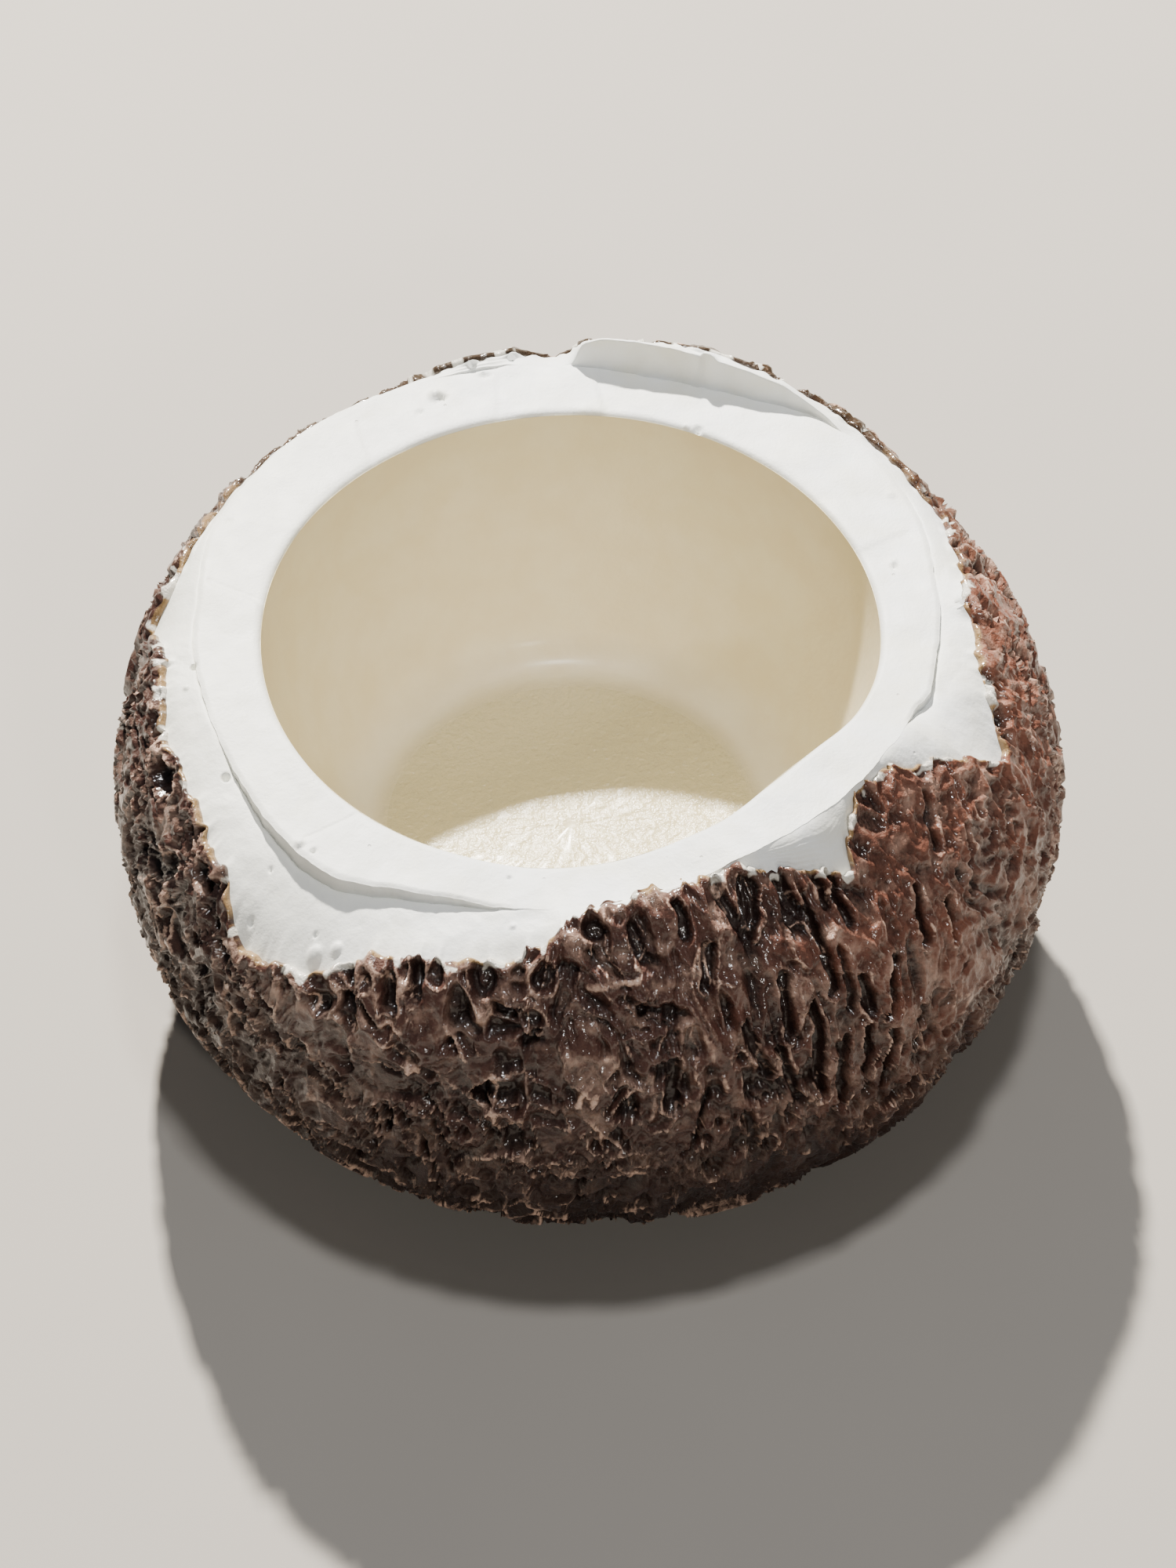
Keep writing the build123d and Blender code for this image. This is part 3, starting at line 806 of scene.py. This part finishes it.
def make_coating(material):
    azimuth = AZIMUTH[::2]
    lift_at_mouth = lip_heights(azimuth)[0] - LIP_HEIGHT - MOUTH_ROUNDING * 0.6
    inner = []
    outer = []
    shares = []
    for radius, height in well_profile():
        around, level = well_shift(radius, height, azimuth, lift_at_mouth)
        point = place(CUP_CENTRE, around, azimuth, level)
        on_floor = smooth_step((FLOOR_RADIUS + 2.0 - radius) / 4.0)
        ripple = 0.09 * rough_noise(point, 1.1, 151) + 0.12 * soft_noise(point, 5.0, 153)
        point[..., 2] += ripple * on_floor
        shares.append(np.full(len(azimuth), float(on_floor)))
        inner.append(point)
        outer.append(place(CUP_CENTRE, around + COATING_DEPTH, azimuth, level - COATING_DEPTH))
    outer = outer[:-1:4] + outer[-1:]
    values = {"floor": np.array(shares[:-1:4] + shares[-1:] + shares[::-1])}
    rows = np.array(outer + inner[::-1])
    return ring_mesh("well_coat", rows, capped=(True, True), values=values), material


# Outline of the felt pad, from the middle of its underside round to the middle of its top.
PAD_OUTLINE = [
    (1.0, 0.0), (12.0, 0.0), (22.0, 0.0), (31.6, 0.0), (32.5, 0.12), (33.0, 0.5), (33.0, 1.6),
    (32.8, PAD_TOP), (20.0, PAD_TOP), (1.0, PAD_TOP),
]


def make_pad(material):
    azimuth = AZIMUTH[::2]
    rows = np.array([place((0.0, 0.0), radius, azimuth, height) for radius, height in PAD_OUTLINE])
    fuzz = rough_noise(rows, 0.9, 161)
    rows[..., :2] *= (1 + 0.003 * fuzz)[..., None]
    return ring_mesh("felt_pad", rows, capped=(True, True)), material


# ---------------------------------------------------------------- materials

class Nodes:
    """Short way to add and join shader nodes."""

    def __init__(self, name):
        self.material = bpy.data.materials.new(name)
        self.material.use_nodes = True
        self.tree = self.material.node_tree
        self.shader = self.tree.nodes["Principled BSDF"]

    def add(self, kind, links=None, **settings):
        """New node with its settings, and its inputs set or linked."""
        node = self.tree.nodes.new(kind)
        for key, value in settings.items():
            setattr(node, key, value)
        for socket, value in (links or {}).items():
            self.put(node.inputs[socket], value)
        return node

    def put(self, socket, value):
        """Links the socket to another one, or sets its value."""
        if isinstance(value, bpy.types.NodeSocket):
            self.tree.links.new(value, socket)
        else:
            socket.default_value = value

    def noise(self, size, detail=3.0, roughness=0.55):
        """Noise whose features are about size millimetres."""
        links = {"Scale": 1 / (size * MM), "Detail": detail, "Roughness": roughness}
        links["Vector"] = self.coordinates()
        return self.add("ShaderNodeTexNoise", links).outputs["Fac"]

    def coordinates(self):
        return self.add("ShaderNodeTexCoord").outputs["Object"]

    def value(self, name):
        """The number that ring_mesh stored under this name."""
        return self.add("ShaderNodeAttribute", attribute_name=name).outputs["Fac"]

    def remap(self, value, low, high, to_low=0.0, to_high=1.0):
        links = {"Value": value, "From Min": low, "From Max": high, "To Min": to_low, "To Max": to_high}
        return self.add("ShaderNodeMapRange", links).outputs["Result"]

    def mix(self, share, first, second):
        node = self.add("ShaderNodeMix", data_type="RGBA", blend_type="MIX")
        self.put(node.inputs["Factor"], share)
        self.put(node.inputs[6], first)
        self.put(node.inputs[7], second)
        return node.outputs[2]

    def maths(self, operation, first, second=0.0):
        node = self.add("ShaderNodeMath", operation=operation)
        self.put(node.inputs[0], first)
        self.put(node.inputs[1], second)
        return node.outputs[0]

    def bump(self, height, depth):
        """Bump from a height that is 0 to 1, scaled to depth millimetres."""
        links = {"Height": height, "Distance": depth * MM, "Strength": 1.0}
        return self.add("ShaderNodeBump", links).outputs["Normal"]


# Linear colours of the husk's paint, of the painted shade and painted highlights laid over it, and of the
# plaster where it is chipped.
DARK_AND_SHADE = (0.0115, 0.0055, 0.005, 1)
BROWN = (0.076, 0.034, 0.026, 1)
REDDISH = (0.22, 0.084, 0.052, 1)
TAN_AND_HIGHLIGHT = (0.66, 0.44, 0.33, 1)
OCHRE = (0.30, 0.19, 0.085, 1)
BARE_PLASTER = (0.72, 0.69, 0.61, 1)
OLIVE_SHADE = (0.05, 0.037, 0.016, 1)


def husk_ground(n, patches, where, high_share):
    """Mottled brown, redder right; painted shade: darker left, near black low down, olive behind."""
    side_share = n.remap(where["X"], 0.008, 0.045)
    red_share = n.maths("MULTIPLY", side_share, n.remap(patches, 0.35, 0.65, 0.45, 1.0))
    colour = n.mix(red_share, BROWN, REDDISH)
    colour = n.mix(n.remap(n.noise(3.5, 4.0), 0.5, 0.72, 0.0, 0.5), colour, TAN_AND_HIGHLIGHT)
    colour = n.mix(n.remap(n.noise(2.6, 4.0), 0.5, 0.66, 0.0, 0.45), colour, DARK_AND_SHADE)
    # Painted shade: the colour turns near black low down.
    colour = n.mix(n.remap(high_share, 0.0, 1.0, 0.93, 0.0), colour, DARK_AND_SHADE)
    # Painted shade: behind the rim the husk is darkened and turned dark olive.
    at_back = n.remap(where["Y"], 0.01, 0.04)
    back_shade_share = n.maths("MULTIPLY", at_back, n.remap(where["Z"], 0.05, 0.057, 0.0, 0.8))
    colour = n.mix(back_shade_share, colour, OLIVE_SHADE)
    colour = n.mix(n.maths("MULTIPLY", at_back, 0.35), colour, DARK_AND_SHADE)
    # Painted shade: the left side is darkened.
    return n.mix(n.remap(where["X"], -0.03, -0.052, 0.0, 0.45), colour, DARK_AND_SHADE)


def husk_touches(n, colour, fine, high_share):
    """Painted shade in hollows, painted highlights on ridges, ochre broken edge, chips down to the plaster.
    """
    # Painted shade: the lower the relief, the darker the colour.
    level = n.maths("ADD", n.value("relief"), n.remap(fine, 0.3, 0.7, -0.12, 0.12))
    colour = n.mix(n.remap(level, 0.2, -0.3, 0.0, 0.97), colour, DARK_AND_SHADE)
    # Painted highlight: the ridges are lightened towards tan.
    ridge = n.maths("MULTIPLY", n.value("ridge"), n.remap(fine, 0.3, 0.6, 0.55, 1.2))
    broken = n.remap(n.noise(2.2, 3.0), 0.4, 0.58, 0.25, 1.0)
    ridge_highlight = n.maths("MULTIPLY", broken, n.remap(high_share, 0.0, 1.0, 0.9, 1.0))
    colour = n.mix(n.maths("MULTIPLY", n.remap(ridge, 0.5, 0.9), ridge_highlight), colour, TAN_AND_HIGHLIGHT)
    colour = n.mix(n.remap(n.value("rim"), 0.4, 0.85, 0.0, 0.9), colour, OCHRE)
    return n.mix(n.remap(n.value("chip"), 0.35, 0.75, 0.0, 0.9), colour, BARE_PLASTER)


def husk_material():
    """Dark brown paint under a varnish that is glossy high up and thin low down."""
    n = Nodes("varnished husk")
    patches = n.noise(9.0, 4.0)
    fine = n.noise(0.7, 4.0, 0.65)
    where = n.add("ShaderNodeSeparateXYZ", {"Vector": n.coordinates()}).outputs
    high_share = n.remap(where["Z"], 0.018, 0.05)
    ground = husk_ground(n, patches, where, high_share)
    n.put(n.shader.inputs["Base Color"], husk_touches(n, ground, fine, high_share))
    n.put(n.shader.inputs["Normal"], n.bump(fine, 0.3))
    n.put(n.shader.inputs["Coat Normal"], n.bump(n.noise(0.6, 2.0), 0.09))
    n.put(n.shader.inputs["Roughness"], n.remap(n.noise(2.0), 0.3, 0.7, 0.28, 0.46))
    n.shader.inputs["Specular IOR Level"].default_value = 0.2
    n.shader.inputs["Specular Tint"].default_value = (1.0, 0.78, 0.62, 1)
    n.put(n.shader.inputs["Coat Weight"], n.remap(high_share, 0.0, 1.0, 0.12, 0.85))
    n.shader.inputs["Coat Roughness"].default_value = 0.13
    return n.material


# How the plaster's warm mottling and the painted shade on its left side differ in red, green and blue, and
# the painted shade in its pinholes.
WARMING_AND_SHADE = (0.965, 0.945, 0.87)
PINHOLE_SHADE = (0.45, 0.42, 0.36, 1)


def plaster_material(name, colour):
    """Matte cast plaster: faint mottling, painted shade on the left, a skin of fine grain, pinholes with
    painted shade.
    """
    n = Nodes(name)
    warm_shaded = [part * fade for part, fade in zip(colour, WARMING_AND_SHADE)] + [1]
    across = n.add("ShaderNodeSeparateXYZ", {"Vector": n.coordinates()}).outputs["X"]
    # Painted shade: towards the left the plaster turns warmer and darker.
    warm_mottle_and_shade = n.maths("MAXIMUM", n.remap(n.noise(7.0, 3.0), 0.4, 0.7), n.remap(across, -0.01, -0.05))
    mottled = n.mix(warm_mottle_and_shade, (*colour, 1), warm_shaded)
    specks = n.add("ShaderNodeTexVoronoi", {"Scale": 1 / (5.5 * MM), "Vector": n.coordinates()})
    # Painted shade: the pinholes are darkened.
    hole = n.remap(specks.outputs["Distance"], 0.02, 0.045, 1.0, 0.0)
    colour = n.mix(n.maths("MULTIPLY", hole, 0.35), mottled, PINHOLE_SHADE)
    n.put(n.shader.inputs["Base Color"], colour)
    grain = n.noise(0.45, 5.0, 0.6)
    height = n.maths("SUBTRACT", grain, n.maths("MULTIPLY", hole, 1.5))
    n.put(n.shader.inputs["Normal"], n.bump(height, 0.06))
    n.put(n.shader.inputs["Roughness"], n.remap(n.noise(3.0), 0.3, 0.7, 0.48, 0.6))
    return n.material


def coating_material():
    """Thin cream sealing coat: satin on the wall, yellower, glossier and pebbled where it pooled."""
    n = Nodes("cream sealing coat")
    cream = (0.69, 0.605, 0.41, 1)
    pale = (0.72, 0.65, 0.465, 1)
    pooled = (0.56, 0.49, 0.29, 1)
    wall = n.mix(n.remap(n.noise(6.0), 0.35, 0.65), cream, pale)
    share = n.value("floor")
    n.put(n.shader.inputs["Base Color"], n.mix(share, wall, pooled))
    pebbles = n.noise(1.1, 3.0, 0.5)
    depth = n.maths("MULTIPLY", n.maths("ADD", pebbles, n.maths("MULTIPLY", n.noise(0.5), 0.5)), share)
    height = n.maths("ADD", n.maths("MULTIPLY", n.noise(0.8), 0.15), depth)
    n.put(n.shader.inputs["Normal"], n.bump(height, 0.3))
    n.put(n.shader.inputs["Roughness"], n.remap(share, 0.0, 1.0, 0.46, 0.24))
    n.shader.inputs["Coat Weight"].default_value = 0.2
    n.shader.inputs["Coat Roughness"].default_value = 0.2
    return n.material


def felt_material():
    """Near-black felt with a slight sheen."""
    n = Nodes("dark felt")
    fibres = n.noise(0.35, 5.0, 0.7)
    n.put(n.shader.inputs["Base Color"], n.mix(fibres, (0.02, 0.018, 0.016, 1), (0.07, 0.06, 0.052, 1)))
    n.put(n.shader.inputs["Normal"], n.bump(fibres, 0.3))
    n.shader.inputs["Roughness"].default_value = 0.95
    n.shader.inputs["Sheen Weight"].default_value = 0.4
    return n.material


def floor_material():
    """Warm pale grey, hardly mottled."""
    n = Nodes("pale floor")
    n.put(n.shader.inputs["Base Color"], n.mix(n.noise(60.0), (0.34, 0.31, 0.275, 1), (0.37, 0.34, 0.30, 1)))
    n.shader.inputs["Roughness"].default_value = 0.8
    return n.material


# ---------------------------------------------------------------- stage

CAMERA_ELEVATION = 49.0
CAMERA_DISTANCE = 555.6
CAMERA_TARGET = (0.0, 0.0, 34.0)
CAMERA_SHIFT = (-0.001, -0.005)
FLOOR_HALF = 2.5


def make_camera():
    data = bpy.data.cameras.new("camera")
    data.lens = 100.0
    data.sensor_width = 36.0
    data.clip_start = 0.01
    data.shift_x, data.shift_y = CAMERA_SHIFT
    camera = bpy.data.objects.new("camera", data)
    turn = radians(CAMERA_ELEVATION)
    back = Vector((0.0, -cos(turn), sin(turn)))
    camera.location = Vector(CAMERA_TARGET) * MM + back * CAMERA_DISTANCE * MM
    camera.rotation_euler = back.to_track_quat("Z", "Y").to_euler()
    bpy.context.scene.collection.objects.link(camera)
    bpy.context.scene.camera = camera


def make_floor():
    mesh = bpy.data.meshes.new("floor")
    corners = [(-FLOOR_HALF, -FLOOR_HALF, 0), (FLOOR_HALF, -FLOOR_HALF, 0),
               (FLOOR_HALF, FLOOR_HALF, 0), (-FLOOR_HALF, FLOOR_HALF, 0)]
    mesh.from_pydata(corners, [], [(0, 1, 2, 3)])
    mesh.materials.append(floor_material())
    floor = bpy.data.objects.new("floor", mesh)
    bpy.context.scene.collection.objects.link(floor)


def make_light(name, place_from, energy, size, colour=(1, 1, 1)):
    """Square area light that looks at the vessel."""
    data = bpy.data.lights.new(name, "AREA")
    data.energy = energy
    data.size = size
    data.color = colour
    light = bpy.data.objects.new(name, data)
    light.location = place_from
    aim = Vector(place_from) - Vector((0.0, 0.0, 0.04))
    light.rotation_euler = aim.to_track_quat("Z", "Y").to_euler()
    bpy.context.scene.collection.objects.link(light)


def make_lights():
    """Hard light from the back left, with two small weak ones from above and the front right."""
    make_light("key", (-0.17, 0.80, 0.885), 67.0, 0.045, (1.0, 0.955, 0.88))
    make_light("overhead", (0.05, -0.12, 1.2), 6.8, 0.1, (0.95, 0.97, 1.0))
    make_light("fill", (0.3, -0.9, 0.75), 3.2, 0.08, (1.0, 0.97, 0.92))
    world = bpy.data.worlds.new("studio")
    world.use_nodes = True
    world.node_tree.nodes["Background"].inputs["Color"].default_value = (0.88, 0.92, 1.0, 1)
    world.node_tree.nodes["Background"].inputs["Strength"].default_value = 0.10
    bpy.context.scene.world = world


# ---------------------------------------------------------------- build

PLASTER_WHITE = (0.82, 0.83, 0.81)
SHARP_ANGLE = 50.0

make_camera()
make_floor()
make_lights()

white = plaster_material("white plaster", PLASTER_WHITE)
for (piece, material), node, slot, sharp in (
    (make_husk(husk_material()), "husk_shell", "husk", None),
    (make_flesh(white), "flesh_body", "white_body", SHARP_ANGLE),
    (make_cup(white), "inner_cup", "white_cup", SHARP_ANGLE),
    (make_coating(coating_material()), "well_coating", "cream_coat", SHARP_ANGLE),
    (make_pad(felt_material()), "base_pad", "felt", SHARP_ANGLE),
):
    finish_piece(piece, node, material, sharp)
